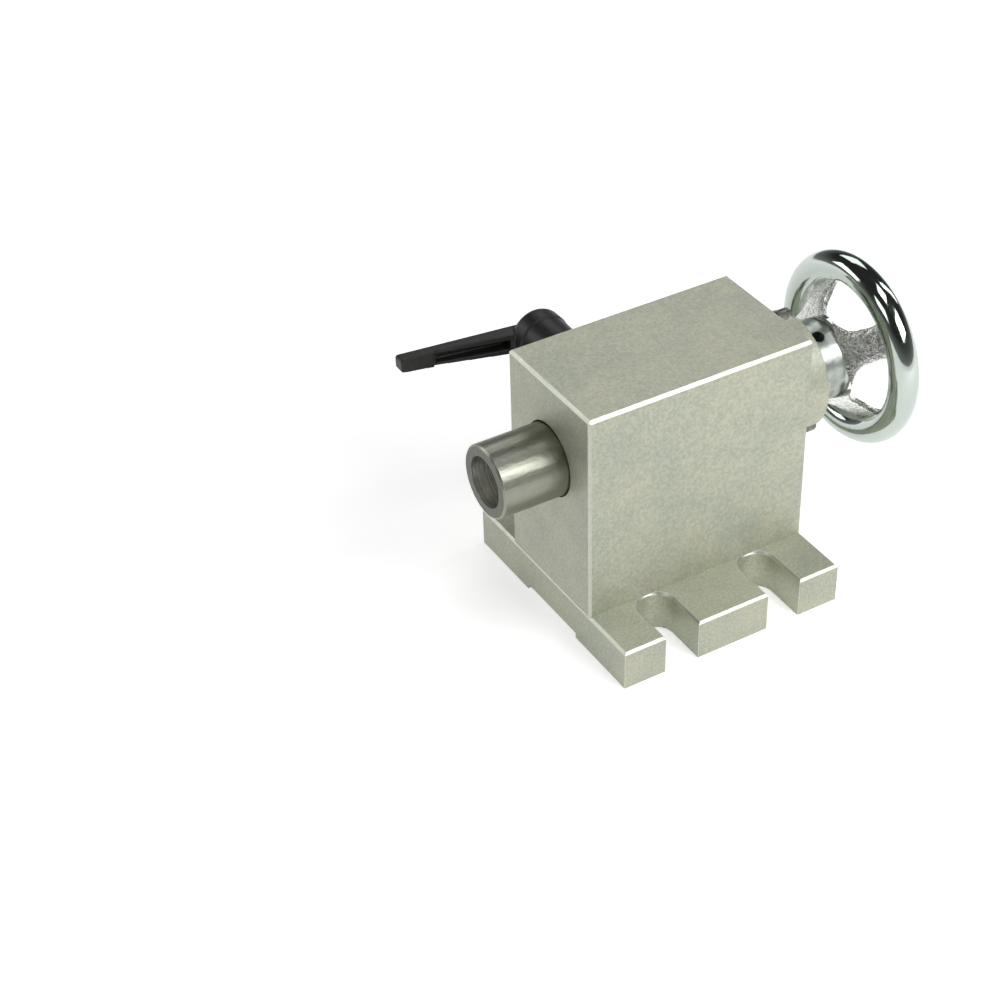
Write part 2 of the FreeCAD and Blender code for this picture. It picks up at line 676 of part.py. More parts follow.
def make_wheel_key():
    """Square key below the shaft, half in the shaft and half in the hub."""
    key = doc.addObject("Part::Box", "wheel_key")
    key.Label = "wheel_key"
    key.setExpression("Length", bind("key_length"))
    key.setExpression("Width", bind("key_width"))
    key.setExpression("Height", bind("key_width"))
    key.setExpression("Placement.Base.x", bind("shaft_end - key_set_in - key_length"))
    key.setExpression("Placement.Base.y", bind("-key_width / 2"))
    key.setExpression("Placement.Base.z", bind("centre_height - journal_diameter / 2 - key_width / 2"))
    return keep(key)


# The cast handwheel: hub, dished web cut into spokes, and a round rim.
RIM_RADIUS = "((wheel_diameter - rim_section) / 2)"
DISH_FRONT = "(hub_shoulder + hub_flare)"
THROUGH_WHEEL = "2 * (rim_set_back + rim_section)"


def make_handwheel():
    body = new_body("handwheel", x="hub_front", z="centre_height", turn="wheel_angle")
    bore = "journal_diameter / 2"
    inside = "%s + %s" % (bore, OVERLAP)
    shoulder = "hub_shoulder + %s" % OVERLAP
    web = new_sketch(body, "web_profile", "XZ")
    rim_front = "rim_set_back - web_thickness / 2"
    outline(
        web,
        [
            ("hub_shoulder", inside),
            ("hub_shoulder", "hub_diameter / 2"),
            (DISH_FRONT, "flare_diameter / 2"),
            (rim_front, "dish_diameter / 2"),
            (rim_front, RIM_RADIUS),
            (rim_front + " + web_thickness", RIM_RADIUS),
            (rim_front + " + web_thickness", "dish_diameter / 2"),
            (DISH_FRONT + " - web_thickness / 2", "hub_rear_diameter / 2"),
            (DISH_FRONT + " - web_thickness / 2", inside),
        ],
    )
    revolve(body, "web", web)

    root = "(spoke_root_width / 2)"
    rim = "(spoke_rim_width / 2)"
    half_pitch = "180 / spoke_count"
    root_angle = "asin(%s / (web_diameter / 2))" % root
    rim_angle = "asin(%s / %s)" % (rim, RIM_RADIUS)
    opening = new_sketch(body, "opening_outline", "YZ")
    opening.setExpression("AttachmentOffset.Rotation.Angle", bind("spoke_angle + %s" % half_pitch))
    corners = []
    for side, radius, angle in (
        (-1, "web_diameter / 2", root_angle),
        (-1, RIM_RADIUS, rim_angle),
        (1, RIM_RADIUS, rim_angle),
        (1, "web_diameter / 2", root_angle),
    ):
        turn = "(%d * (%s * 1deg - %s))" % (side, half_pitch, angle)
        corners.append(("(%s) * sin%s" % (radius, turn), "(%s) * cos%s" % (radius, turn)))
    outline(
        opening,
        [
            corners[0] + ("0", "0", 1),
            corners[1],
            corners[2] + ("0", "0", -1),
            corners[3],
        ],
    )
    window = pocket(body, "opening", opening, THROUGH_WHEEL, Midplane=True)
    repeat_round(body, "openings", window, "X", "spoke_count")

    def at_root(point):
        return near(math.hypot(point.y, point.z), "web_diameter / 2")

    dress(body, "Fillet", "rounded_roots", at_root, "spoke_root_radius", straight=True)

    rim_profile = new_sketch(body, "rim_profile", "XZ")
    circle(rim_profile, "rim_set_back", RIM_RADIUS, "rim_section / 2")
    revolve(body, "rim", rim_profile)

    hub = new_sketch(body, "hub_profile", "XZ")
    outline(
        hub,
        [
            ("0", bore),
            ("0", "hub_diameter / 2 - hub_chamfer"),
            ("hub_chamfer", "hub_diameter / 2"),
            (shoulder, "hub_diameter / 2"),
            (shoulder, "hub_rear_diameter / 2"),
            ("hub_length - hub_chamfer", "hub_rear_diameter / 2"),
            ("hub_length", "hub_rear_diameter / 2 - hub_chamfer"),
            ("hub_length", bore),
        ],
    )
    revolve(body, "hub", hub)

    keyway = new_sketch(body, "keyway_outline", "YZ")
    low = "-journal_diameter / 2 - key_width / 2"
    rectangle(keyway, "-key_width / 2", "key_width / 2", low, "0")
    keyway.setExpression("AttachmentOffset.Rotation.Angle", bind("-wheel_angle"))
    pocket(body, "keyway", keyway, THROUGH_WHEEL, Midplane=True)

    screw_hole = new_sketch(body, "screw_hole_outline", "XY")
    circle(screw_hole, "wheel_screw_set_back", "0", "wheel_screw_thread / 2")
    pocket(body, "screw_hole", screw_hole, "hub_diameter", Reversed=True)
    return keep(body)


def make_wheel_set_screw():
    """Set screw deep in the hub, its flat end on the shaft."""
    place = "hub_front + wheel_screw_set_back"
    body = new_body("wheel_set_screw", x=place, z="centre_height", turn="wheel_angle")
    shank = new_sketch(body, "shank_outline", "XY", "journal_diameter / 2 + running_clearance / 2")
    circle(shank, "0", "0", "wheel_screw_thread / 2")
    pad(body, "shank", shank, "wheel_screw_thread")
    socket = new_sketch(body, "socket_outline", "XY", "journal_diameter / 2 + wheel_screw_thread")
    hexagon(socket, "0", "0", "wheel_screw_thread / 2")
    pocket(body, "socket", socket, "wheel_screw_thread / 2")
    return keep(body)


# The quill with its taper socket, keyway and nut.
def make_quill():
    body = new_body("quill", x="nose_x", z="centre_height")
    outer, small_end = "quill_diameter / 2", "socket_mouth / 2 - socket_length / socket_ratio / 2"
    nut_seat = "quill_length - nut_length"
    profile = new_sketch(body, "profile", "XZ")
    outline(
        profile,
        [
            ("0", "socket_mouth / 2"),
            ("0", outer + " - quill_chamfer"),
            ("quill_chamfer", outer),
            ("quill_length - quill_chamfer", outer),
            ("quill_length", outer + " - quill_chamfer"),
            ("quill_length", "nut_diameter / 2"),
            (nut_seat, "nut_diameter / 2"),
            (nut_seat, "quill_bore / 2"),
            ("socket_length", "quill_bore / 2"),
            ("socket_length", small_end),
        ],
    )
    revolve(body, "sleeve", profile)

    keyway = new_sketch(body, "keyway_outline", "XY", "-" + outer)
    front = "guide_screw_x - nose_x - quill_retract - keyway_margin"
    back = "guide_screw_x - nose_x + quill_extend + keyway_margin"
    half = "keyway_width / 2"
    outline(
        keyway,
        [
            (front, half),
            (front, "-" + half, front, "0", 1),
            (back, "-" + half),
            (back, half, back, "0", 1),
        ],
    )
    pocket(body, "keyway", keyway, "keyway_depth", Reversed=True)

    screw_hole = new_sketch(body, "screw_hole_outline", "XY")
    circle(screw_hole, "quill_length - nut_length / 2", "0", "nut_screw_thread / 2 + running_clearance")
    pocket(body, "screw_hole", screw_hole, "quill_diameter", Reversed=True)
    return keep(body)


def make_quill_nut():
    body = new_body("quill_nut", x="nose_x + quill_length - nut_length", z="centre_height")
    bore = "lead_screw_diameter / 2 + running_clearance"
    profile = new_sketch(body, "profile", "XZ")
    outline(
        profile,
        [
            ("0", bore + " + edge_break"),
            ("0", "nut_diameter / 2"),
            ("nut_length", "nut_diameter / 2"),
            ("nut_length", bore + " + edge_break"),
            ("nut_length - edge_break", bore),
            ("edge_break", bore),
        ],
    )
    revolve(body, "nut", profile)
    seat = new_sketch(body, "screw_seat_outline", "XY", "nut_diameter / 2 - nut_screw_seat")
    circle(seat, "nut_length / 2", "0", "nut_screw_thread / 2 + running_clearance")
    pocket(body, "screw_seat", seat, "2 * nut_screw_seat", Reversed=True)
    return keep(body)


def make_nut_set_screw():
    """Set screw through the wall of the quill into the nut."""
    body = new_body("nut_set_screw", x="nose_x + quill_length - nut_length / 2", z="centre_height")
    start, end = "nut_diameter / 2 - nut_screw_seat", "quill_diameter / 2 - nut_screw_set_in"
    shank = new_sketch(body, "shank_outline", "XY", start)
    circle(shank, "0", "0", "nut_screw_thread / 2")
    pad(body, "shank", shank, "%s - (%s)" % (end, start))
    socket = new_sketch(body, "socket_outline", "XY", end)
    hexagon(socket, "0", "0", "nut_screw_thread / 2")
    pocket(body, "socket", socket, "nut_screw_thread / 2")
    return keep(body)


# The clamp: brass pad, serrated insert with its stud, lever, spring and retaining screw.
PAD_FRONT = "(quill_diameter / 2 + clamp_pad_gap)"
PAD_BACK = "(%s + clamp_pad_length)" % PAD_FRONT


def make_clamp_pad():
    """Brass pad, hollowed to the quill."""
    along_y = FreeCAD.Placement(FreeCAD.Vector(), FreeCAD.Rotation(FreeCAD.Vector(1, 0, 0), -90))
    along_x = FreeCAD.Placement(FreeCAD.Vector(), FreeCAD.Rotation(FreeCAD.Vector(0, 1, 0), 90))
    slug = cylinder("pad_slug", "clamp_thread / 2", PAD_BACK, along_y)
    hollow = cylinder("pad_hollow", PAD_FRONT, "2 * clamp_thread", along_x)
    hollow.setExpression("Placement.Base.x", bind("-clamp_thread"))
    clamp_pad = cut("clamp_pad", slug, hollow)
    clamp_pad.setExpression("Placement.Base.x", bind("clamp_x"))
    clamp_pad.setExpression("Placement.Base.z", bind("centre_height"))
    return keep(clamp_pad)


def make_lever_insert():
    """Clamp stud with a flange, a neck and a serrated head."""
    body = new_body("lever_insert", x="clamp_x", y="side_face", z="centre_height")
    head, root = "spline_diameter / 2", "(spline_diameter / 2 - spline_depth)"
    flange_end = "insert_gap + insert_flange_length"
    tapped = "lever_screw_thread / 2 + running_clearance"
    point = PAD_BACK + " - side_face + clamp_stud_gap"
    profile = new_sketch(body, "profile", "YZ")
    outline(
        profile,
        [
            (point, "0"),
            (point, "clamp_thread / 2"),
            ("insert_gap", "clamp_thread / 2"),
            ("insert_gap", "insert_flange_diameter / 2"),
            (flange_end, "insert_flange_diameter / 2"),
            (flange_end, "insert_neck_diameter / 2"),
            ("spline_start", "insert_neck_diameter / 2"),
            ("spline_start", head),
            ("insert_end", head),
            ("insert_end", tapped),
            ("insert_gap", tapped),
            ("insert_gap", "0"),
        ],
    )
    revolve(body, "stud", profile)
    tooth_gap = new_sketch(body, "serration_outline", "XZ", "-insert_end")
    tip = head + " + spline_overcut"
    outline(tooth_gap, [("0", root), ("spline_depth", tip), ("-spline_depth", tip)])
    flute = pocket(body, "serration", tooth_gap, "spline_length", Reversed=True)
    repeat_round(body, "serrations", flute, "Y", "spline_count")
    return keep(body)


def make_lever_screw():
    """Screw along the lever hub that holds the spring and the lever on the insert."""
    body = new_body("lever_screw", x="clamp_x", y="side_face", z="centre_height")
    tip, seat = "insert_gap + lever_screw_set_in", "spring_start + spring_length"
    shank = "lever_screw_thread / 2"
    profile = new_sketch(body, "profile", "YZ")
    outline(
        profile,
        [
            (tip, "0"),
            (tip, shank),
            (seat, shank),
            (seat, "lever_screw_head / 2"),
            (seat + " + lever_screw_head_length - lever_screw_chamfer", "lever_screw_head / 2"),
            (seat + " + lever_screw_head_length", "lever_screw_head / 2 - lever_screw_chamfer"),
            (seat + " + lever_screw_head_length", "0"),
        ],
    )
    revolve(body, "screw", profile)
    socket = new_sketch(body, "socket_outline", "XZ", "-(%s + lever_screw_head_length)" % seat)
    hexagon(socket, "0", "0", "%s * lever_screw_thread" % HEX_RATIO)
    pocket(body, "socket", socket, "lever_screw_head_length / 2", Reversed=True)
    return keep(body)


def wire_section(radius, wire):
    """Square section of a spring's wire, in the XZ plane."""
    corners = []
    reach = wire / math.sqrt(2)
    for i in range(WIRE_SIDES + 1):
        angle = 2 * math.pi * (i + 0.5) / WIRE_SIDES
        corners.append(FreeCAD.Vector(radius + reach * math.cos(angle), 0, reach * math.sin(angle)))
    return Part.makePolygon(corners)


def make_lever_spring():
    """Compression spring round the lever screw."""
    spring = doc.addObject("Part::Feature", "lever_spring")
    spring.Label = "lever_spring"
    wire = size("spring_wire")
    radius = (size("spring_diameter") - wire) / 2
    turns = size("spring_turns")
    pitch = (size("spring_length") - wire - 2 * size("running_gap")) / turns
    helix = Part.makeHelix(pitch, pitch * turns, radius)
    spring.Shape = Part.Wire(helix.Edges).makePipeShell([wire_section(radius, wire)], True, True)
    foot = size("side_face + spring_start + running_gap") + wire / 2
    spring.Placement = FreeCAD.Placement(
        FreeCAD.Vector(size("clamp_x"), foot, size("centre_height")),
        FreeCAD.Rotation(FreeCAD.Vector(1, 0, 0), -90),
    )
    return keep(spring)


# The lever: a skirted hub with a domed head and a tilted, tapered arm hollow underneath.
SKIRT_START = "(insert_gap + insert_flange_length + skirt_gap)"
WAIST = "(arm_length - arm_tip_length)"


def arm_line(distance, depth):
    """Height above the block of a line at a depth under the arm's outer face."""
    return "lever_height - arm_set_down + (%s) * tan(arm_tilt) - (%s)" % (distance, depth)


def arm_half_width(distance):
    slope = "(arm_root_width - arm_tip_width) / arm_length"
    return "(arm_root_width - (%s) * %s) / 2" % (distance, slope)


def make_lever_handle():
    body = new_body("lever_handle", x="clamp_x", y="side_face", z="centre_height")
    side = new_sketch(body, "arm_side_view", "XY")
    outline(
        side,
        [
            ("0", arm_line("0", "0")),
            ("-arm_length", arm_line("arm_length", "0")),
            ("-arm_length", arm_line("arm_length", "arm_tip_thickness")),
            ("-" + WAIST, arm_line(WAIST, "arm_tip_thickness")),
            ("-" + WAIST, arm_line(WAIST, "arm_waist_thickness")),
            ("0", arm_line("0", "arm_root_thickness")),
        ],
    )
    pad(body, "arm", side, "arm_root_width", Midplane=True)

    tapers = new_sketch(body, "arm_taper_outlines", "XZ")
    end = "arm_length + %s" % OVERCUT
    for sign in SIGNS:
        outline(
            tapers,
            [
                ("0", "%d * arm_root_width / 2" % sign),
                ("-(%s)" % end, "%d * arm_root_width / 2" % sign),
                ("-(%s)" % end, "%d * (%s)" % (sign, arm_half_width(end))),
            ],
        )
    pocket(body, "arm_tapers", tapers, "2 * lever_height")

    def on_arm_rim(point):
        on_side = near(abs(point.z), arm_half_width(str(-point.x)))
        on_outer = near(point.y, arm_line(str(-point.x), "0"))
        at_tip = near(point.x, "-arm_length")
        return (on_side and on_outer) or (at_tip and (on_side or on_outer))

    dress(body, "Fillet", "rounded_arm", on_arm_rim, "arm_rounding")

    hollow = new_sketch(body, "hollow_side_view", "XY")
    start, stop = "head_diameter / 2 + arm_wall", WAIST + " - arm_wall"
    outline(
        hollow,
        [
            ("-(%s)" % start, arm_line(start, "arm_skin")),
            ("-(%s)" % stop, arm_line(stop, "arm_skin")),
            ("-(%s)" % stop, arm_line(stop, "2 * arm_root_thickness")),
            ("-(%s)" % start, arm_line(start, "2 * arm_root_thickness")),
        ],
    )
    width = "2 * (%s) - 2 * arm_wall" % arm_half_width(stop)
    pocket(body, "hollow", hollow, width, Midplane=True)

    hub = new_sketch(body, "hub_profile", "YZ")
    top = "head_diameter / 2"
    inner = "(head_diameter / 2 - dome_radius)"
    outline(
        hub,
        [
            (SKIRT_START, "0"),
            (SKIRT_START, "skirt_diameter / 2"),
            ("head_start - groove_depth", "skirt_top_diameter / 2"),
            ("head_start", "skirt_top_diameter / 2 - groove_depth"),
            ("head_start + groove_depth", top),
            ("lever_height - dome_radius", top),
            ("lever_height", inner, "lever_height - dome_radius", inner, -1),
            ("lever_height", "0"),
        ],
    )
    revolve(body, "hub", hub)

    bore = new_sketch(body, "bore_profile", "YZ")
    socket_radius = "spline_diameter / 2 + spline_clearance"
    web_radius = "lever_screw_thread / 2 + lever_bore_clearance"
    chamber_radius = "lever_screw_head / 2 + lever_bore_clearance"
    outline(
        bore,
        [
            (SKIRT_START, "0"),
            (SKIRT_START, socket_radius),
            ("web_start", socket_radius),
            ("web_start", web_radius),
            ("spring_start", web_radius),
            ("spring_start", chamber_radius),
            ("lever_height", chamber_radius),
            ("lever_height", "0"),
        ],
    )
    groove(body, "bore", bore)

    tooth = new_sketch(body, "tooth_outline", "XZ", "-insert_end")
    apex = "(spline_diameter / 2 - spline_depth + 2 * spline_clearance)"
    base = "(spline_diameter / 2 + spline_clearance + tooth_sink)"
    flank = "(%s - %s) * spline_depth / (spline_depth + spline_overcut)" % (base, apex)
    outline(tooth, [("0", apex), (flank, base), ("-" + flank, base)])
    ridge = pad(body, "tooth", tooth, "spline_length", Reversed=False)
    repeat_round(body, "teeth", ridge, "Y", "spline_count")
    return keep(body)


def build():
    make_base_plate()
    make_base_screws()
    make_body_block()
    make_guide_screw()
    make_rear_cap()
    make_cap_screws()
    make_screw_bushing()
    make_washer("thrust_washer", "collar_rear + running_gap", "washer_thickness", "collar_diameter")
    make_washer("hub_washer", "cap_rear + running_gap", "hub_washer_thickness", "hub_rear_diameter")
    make_lead_screw()
    make_wheel_key()
    make_handwheel()
    make_wheel_set_screw()
    make_quill()
    make_quill_nut()
    make_nut_set_screw()
    make_clamp_pad()
    make_lever_insert()
    make_lever_screw()
    make_lever_spring()
    make_lever_handle()
    doc.recompute()


def check():
    """Stop if any object failed or any sub-part is empty or not a valid solid."""
    for item in doc.Objects:
        if "Invalid" in item.State or "Error" in item.State:
            raise RuntimeError("%s failed: %s" % (item.Name, item.State))
    for subpart in SUBPARTS:
        shape = subpart.Shape
        if shape.isNull() or not shape.isValid() or not shape.Solids:
            raise RuntimeError("%s is not a valid solid" % subpart.Label)


def export():
    os.makedirs("parts", exist_ok=True)
    for subpart in SUBPARTS:
        subpart.Shape.exportStep(os.path.join("parts", subpart.Label + ".step"))
        print("%-18s %2d solids" % (subpart.Label, len(subpart.Shape.Solids)))


build()
check()
export()
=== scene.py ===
import bpy
import bmesh
import math
from mathutils import Matrix, Vector, noise

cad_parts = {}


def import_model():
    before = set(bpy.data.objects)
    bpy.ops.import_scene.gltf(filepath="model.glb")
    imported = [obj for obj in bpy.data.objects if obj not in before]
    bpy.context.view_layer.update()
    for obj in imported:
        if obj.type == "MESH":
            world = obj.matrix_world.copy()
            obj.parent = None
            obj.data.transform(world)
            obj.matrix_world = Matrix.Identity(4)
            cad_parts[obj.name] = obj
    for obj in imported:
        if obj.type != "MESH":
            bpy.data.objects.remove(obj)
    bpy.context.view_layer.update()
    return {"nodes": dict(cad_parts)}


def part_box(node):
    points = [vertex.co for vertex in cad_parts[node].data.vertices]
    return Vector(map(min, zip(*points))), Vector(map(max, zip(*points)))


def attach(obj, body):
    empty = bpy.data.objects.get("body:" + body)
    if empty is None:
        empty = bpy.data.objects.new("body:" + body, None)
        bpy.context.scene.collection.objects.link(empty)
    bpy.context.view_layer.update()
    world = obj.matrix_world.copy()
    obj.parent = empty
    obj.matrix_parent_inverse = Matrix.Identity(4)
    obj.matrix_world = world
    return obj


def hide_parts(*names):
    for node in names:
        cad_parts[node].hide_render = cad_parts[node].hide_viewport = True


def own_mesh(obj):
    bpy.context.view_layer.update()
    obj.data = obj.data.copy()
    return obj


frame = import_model()

# Looks of a small lathe tailstock: a bead-blasted, nickel-plated block on a slotted base, a ground
# quill, a chromed cast handwheel and a moulded black clamp lever. Lengths are in metres.
MM = 0.001
NODES = frame["nodes"]

# Camera, at the viewing angle of the product picture. Angles in degrees, lens and sensor in mm.
CAMERA_AZIMUTH = -30.863
CAMERA_ELEVATION = 38.964
CAMERA_ROLL = -0.967
CAMERA_DISTANCE = 0.739236
CAMERA_TARGET = Vector((-0.04263, 0.0, 0.018514))
CAMERA_LENS = 79.125
CAMERA_SENSOR = 36.0
CAMERA_SHIFT = (-0.0517, 0.0701)
CAMERA_CLIP = (0.01, 50.0)

# Studio. The floor glows by FLOOR_LIFT up to FLOOR_NEAR from the object and fully from FLOOR_FAR on.
STUDIO_CENTRE = Vector((0.01, 0.0, 0.05))
FLOOR_SIZE = 4.0
FLOOR_CELLS = 8
FLOOR_LIFT = 0.56
FLOOR_NEAR = 0.25
FLOOR_FAR = 1.0
# Height in the sky from the horizon (0) to overhead (1), and the grey there.
SKY = ((0.0, 0.25), (0.20, 0.12), (0.42, 0.03), (1.0, 0.03))
# Name, azimuth, elevation, distance, width, height and power in watts.
LAMPS = (
    ("key", 24.0, 40.0, 0.72, 0.45, 0.30, 2.8),
    ("side", -78.0, 40.0, 0.65, 0.25, 0.20, 0.40),
    ("top", 20.0, 80.0, 1.0, 0.5, 0.3, 1.4),
    ("far", 150.0, 42.0, 1.0, 0.5, 0.4, 1.1),
    ("rim", -137.0, 24.0, 1.0, 0.5, 0.3, 1.5),
    ("back", 95.0, 35.0, 1.0, 0.12, 0.7, 1.2),
)

# Places of CAD pieces at rest, read from the frame.
QUILL_LOW, QUILL_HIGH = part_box("quill")
WHEEL_LOW, WHEEL_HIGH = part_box("handwheel")
BLOCK_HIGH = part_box("body_block")[1]
AXIS_Z = (QUILL_LOW.z + QUILL_HIGH.z) / 2
QUILL_RADIUS = (QUILL_HIGH.z - QUILL_LOW.z) / 2

# Edges. A face is square to an axis where its normal has a part above SQUARE, and it is a sloping
# one that looks up where the z part is between SLOPING and SQUARE.
CHAMFER = 1.0 * MM
EDGE_ROUNDING = 0.20 * MM
QUILL_ROUNDING = 0.42 * MM
BEVEL_SEGMENTS = 2
SHARP_ANGLE = 32.0
SPOKE_SHARP_ANGLE = 60.0
FLAT_ANGLE = 0.3
JOIN_DISTANCE = 0.001 * MM
SQUARE = 0.9
SLOPING = 0.3

# Places of the finishes in the material lists of the castings, the quill and the rim.
# The corner finish paints highlights along the rounded edges.
# The gap finish is painted shade in the mouth round the quill.
WALL, MILLED, SHADED_GAP, EDGE_HIGHLIGHT = 0, 1, 2, 3
# The nose finish is painted shade on the quill's end faces; the socket finish is painted lighter, with
# painted ring reflections.
OUTSIDE, SOCKET, SHADED_NOSE = 0, 1, 2
POLISHED, CAST = 0, 1
AS_THE_FACES = -1

# The handwheel, in its own frame: x behind the front of the hub, r from the quill axis.
WHEEL_RADIUS = (WHEEL_HIGH.z - WHEEL_LOW.z) / 2
RIM_SECTION = 5.2 * MM
RIM_RADIUS = WHEEL_RADIUS - RIM_SECTION
RIM_X = WHEEL_HIGH.x - WHEEL_LOW.x - RIM_SECTION
RIM_INSIDE = 4.0 * MM
RIM_STEPS = 240
RIM_SECTION_STEPS = 64
HUB_RADIUS = 14.0 * MM
HUB_SHOULDER = 7.0 * MM
HUB_LENGTH = 14.0 * MM
HUB_REAR_RADIUS = 12.0 * MM
HUB_BORE = 5.0 * MM
HUB_ROUNDING = 0.7 * MM
HUB_STEPS = 192
FLARE_RADIUS = 14.5 * MM
FLARE_END = 10.4 * MM
WEB_RADIUS = 15.0 * MM
WEB_THICKNESS = 3.2 * MM
WEB_EDGE = 0.48 * WEB_THICKNESS
DISH_RADIUS = 24.5 * MM
DISH_START = -0.3
SET_SCREW_ANGLE = 70.0
SET_SCREW_X = 5.0 * MM
SET_SCREW_RADIUS = 2.25 * MM
SET_SCREW_DEPTH = HUB_RADIUS - HUB_BORE - 0.75 * MM
SET_SCREW_STEPS = 48

# The spokes run from inside the web to inside the rim and flare at both ends.
SPOKE_COUNT = 4
FIRST_SPOKE = 35.0
SPOKE_START = WEB_RADIUS - 1.6 * MM
SPOKE_END = RIM_RADIUS - 1.0 * MM
SPOKE_ROOT_WIDTH = 13.0 * MM
SPOKE_RIM_WIDTH = 9.5 * MM
SPOKE_HALF_DEPTH = 0.42 * WEB_THICKNESS
SPOKE_CORNER = 0.9 * MM
SPOKE_BOXINESS = 0.35
SPOKE_STEPS = 56
SPOKE_AROUND = 112
SLOPE_STEP = 0.1 * MM
ROOT_FLARE = 1.9 * MM
ROOT_FLARE_LENGTH = 2.6 * MM
RIM_FLARE = 2.6 * MM
RIM_FLARE_LENGTH = 4.4 * MM
RIM_FLARE_END = RIM_RADIUS - RIM_SECTION + 0.6 * MM
RIM_FLARE_LIMIT = 1.2
# Grain of the sand casting: waves per metre and height. It fades out where the rim begins.
SKIN_WAVES = ((900.0, 0.10 * MM), (2300.0, 0.06 * MM))
SKIN_END = RIM_RADIUS - RIM_SECTION + 1.0 * MM
SKIN_FADE = 1.5 * MM

# The moulded skin of the lever.
LEVER_VOXEL = 0.28 * MM
LEVER_SMOOTHING = 0.5
LEVER_SMOOTHING_ROUNDS = 6


# ---------------------------------------------------------------- materials

# Colour sockets of the Mix node, which shares its names between kinds of value.
MIX_FIRST, MIX_SECOND, MIX_RESULT = 6, 7, 2


class Look:
    """A material, with short calls that add nodes to it."""

    def __init__(self, name):
        self.material = bpy.data.materials.new(name)
        self.material.use_nodes = True
        self.tree = self.material.node_tree
        self.shader = self.tree.nodes["Principled BSDF"]
        self.place = self.tree.nodes.new("ShaderNodeTexCoord").outputs["Object"]

    def add(self, kind, **settings):
        node = self.tree.nodes.new("ShaderNode" + kind)
        for name, value in settings.items():
            setattr(node, name, value)
        return node

    def link(self, source, target):
        self.tree.links.new(source, target)

    def feed(self, socket, value):
        """Give a socket a colour, a number or the output of a node."""
        if isinstance(value, tuple):
            socket.default_value = (*value, 1.0)
        elif isinstance(value, float):
            socket.default_value = value
        else:
            self.link(value, socket)

    def stretched(self, scale):
        """The place on the object, scaled by x, y and z."""
        mapping = self.add("Mapping")
        mapping.inputs["Scale"].default_value = scale
        self.link(self.place, mapping.inputs["Vector"])
        return mapping.outputs["Vector"]

    def noise(self, scale, detail=3.0, rough=0.55, vector=None):
        node = self.add("TexNoise")
        node.inputs["Scale"].default_value = scale
        node.inputs["Detail"].default_value = detail
        node.inputs["Roughness"].default_value = rough
        self.link(vector or self.place, node.inputs["Vector"])
        return node.outputs["Fac"]

    def remap(self, value, span, onto=(0.0, 1.0)):
        """Map a span of values onto another."""
        node = self.add("MapRange")
        names = ("From Min", "From Max", "To Min", "To Max")
        for name, number in zip(names, (*span, *onto)):
            node.inputs[name].default_value = number
        self.link(value, node.inputs["Value"])
        return node.outputs["Result"]

    def combine(self, operation, first, second):
        """Work out a number from two others."""
        node = self.add("Math", operation=operation)
        self.link(first, node.inputs[0])
        self.link(second, node.inputs[1])
        return node.outputs["Value"]

    def mix(self, factor, first, second):
        """Mix two colours."""
        node = self.add("Mix", data_type="RGBA")
        self.feed(node.inputs["Factor"], factor)
        self.feed(node.inputs[MIX_FIRST], first)
        self.feed(node.inputs[MIX_SECOND], second)
        return node.outputs[MIX_RESULT]

    def bump(self, height, strength, distance, normal=None):
        node = self.add("Bump")
        node.inputs["Strength"].default_value = strength
        node.inputs["Distance"].default_value = distance
        self.link(height, node.inputs["Height"])
        if normal is not None:
            self.link(normal, node.inputs["Normal"])
        return node.outputs["Normal"]

    def finish(self, colour, metallic, roughness, normal=None, specular=0.5):
        self.feed(self.shader.inputs["Base Color"], colour)
        self.feed(self.shader.inputs["Roughness"], roughness)
        self.shader.inputs["Metallic"].default_value = metallic
        self.shader.inputs["Specular IOR Level"].default_value = specular
        if normal is not None:
            self.link(normal, self.shader.inputs["Normal"])
        return self.material


def blasted_nickel():
    """Bead-blasted nickel plate: warm grey, a fine even grain and faint clouds."""
    look = Look("blasted_nickel")
    clouds = look.remap(look.noise(60.0, 5.0, 0.6), (0.38, 0.62))
    grain = look.remap(look.noise(1000.0, 3.0, 0.7), (0.38, 0.62))
    tone = look.mix(clouds, (0.465, 0.50, 0.415), (0.595, 0.595, 0.465))
    speckle = look.mix(grain, (0.38, 0.40, 0.325), (0.66, 0.68, 0.545))
    colour = look.mix(0.45, tone, speckle)
    rough = look.remap(look.noise(900.0), (0.3, 0.7), (0.42, 0.56))
    normal = look.bump(look.noise(3200.0, 2.0, 0.6), 0.35, 0.00006)
    return look.finish(colour, 0.45, rough, normal)


def milled_edge(name, dull, bright):
    """Milled chamfers and corners, cleaned after the blasting. Near-white tones, as given for the corners,
    are painted highlights along the rounded edges.
    """
    look = Look(name)
    marks = look.remap(look.noise(700.0), (0.3, 0.7))
    rough = look.remap(marks, (0.0, 1.0), (0.34, 0.48))
    return look.finish(look.mix(marks, dull, bright), 0.7, rough)


def painted_gap_shade():
    """Painted shade: a dark colour in the mouth of the quill bore, standing for the shaded clearance round
    the quill.
    """
    look = Look("painted_gap_shade")
    colour = look.mix(look.noise(300.0), (0.020, 0.020, 0.015), (0.06, 0.06, 0.045))
    return look.finish(colour, 0.3, 0.45)


def ground_steel(name, axis_scale, tint, marks=0.25, stain=0.86):
    """Ground or turned steel: streaks that run round or along the piece, and faint stains."""
    look = Look(name)
    streaks = look.noise(1.0, 5.0, 0.65, look.stretched(axis_scale))
    stains = look.remap(look.noise(120.0, 4.0, 0.6), (0.35, 0.7))
    colour = look.mix(stains, tint, tuple(stain * part for part in tint))
    grain = look.noise(620.0, 3.0, 0.65)
    rough = look.remap(streaks, (0.25, 0.75), (0.28, 0.42))
    normal = look.bump(streaks, marks, 0.00008, look.bump(grain, 0.5, 0.00022))
    return look.finish(colour, 1.0, rough, normal)


